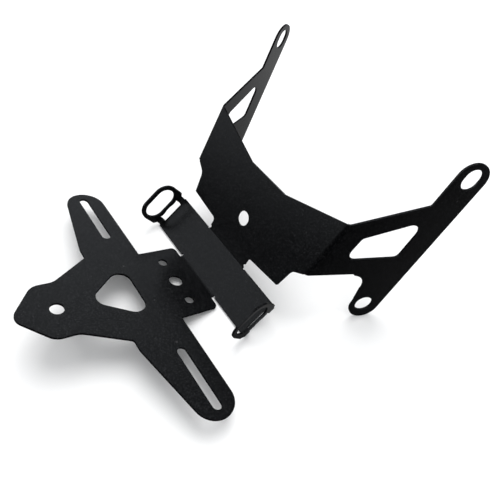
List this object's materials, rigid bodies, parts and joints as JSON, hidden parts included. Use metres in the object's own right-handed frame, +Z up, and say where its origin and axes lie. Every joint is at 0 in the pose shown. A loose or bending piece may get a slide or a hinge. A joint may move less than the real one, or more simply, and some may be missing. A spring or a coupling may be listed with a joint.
{
  "type": "motorcycle tail tidy bracket",
  "caption": "Folded sheet bracket that carries a motorcycle's number plate, plate lamp and rear indicators under its tail.",
  "frame": {"origin": "middle of the base of the bounding box, on the surface that the bracket rests on", "axes": "+Z up; +Y from the plate holder's pointed end towards the wings that bolt to the tail; +X to the right seen from behind the plate holder's pointed end, mirror plane at X = 0"},
  "size_m": [0.1926, 0.2378, 0.1132],
  "materials": {
    "coated_sheet": "satin black powder coat, very fine orange peel"
  },
  "bodies": {
    "root": {"folded_bracket": "coated_sheet"}
  },
  "joints": []
}
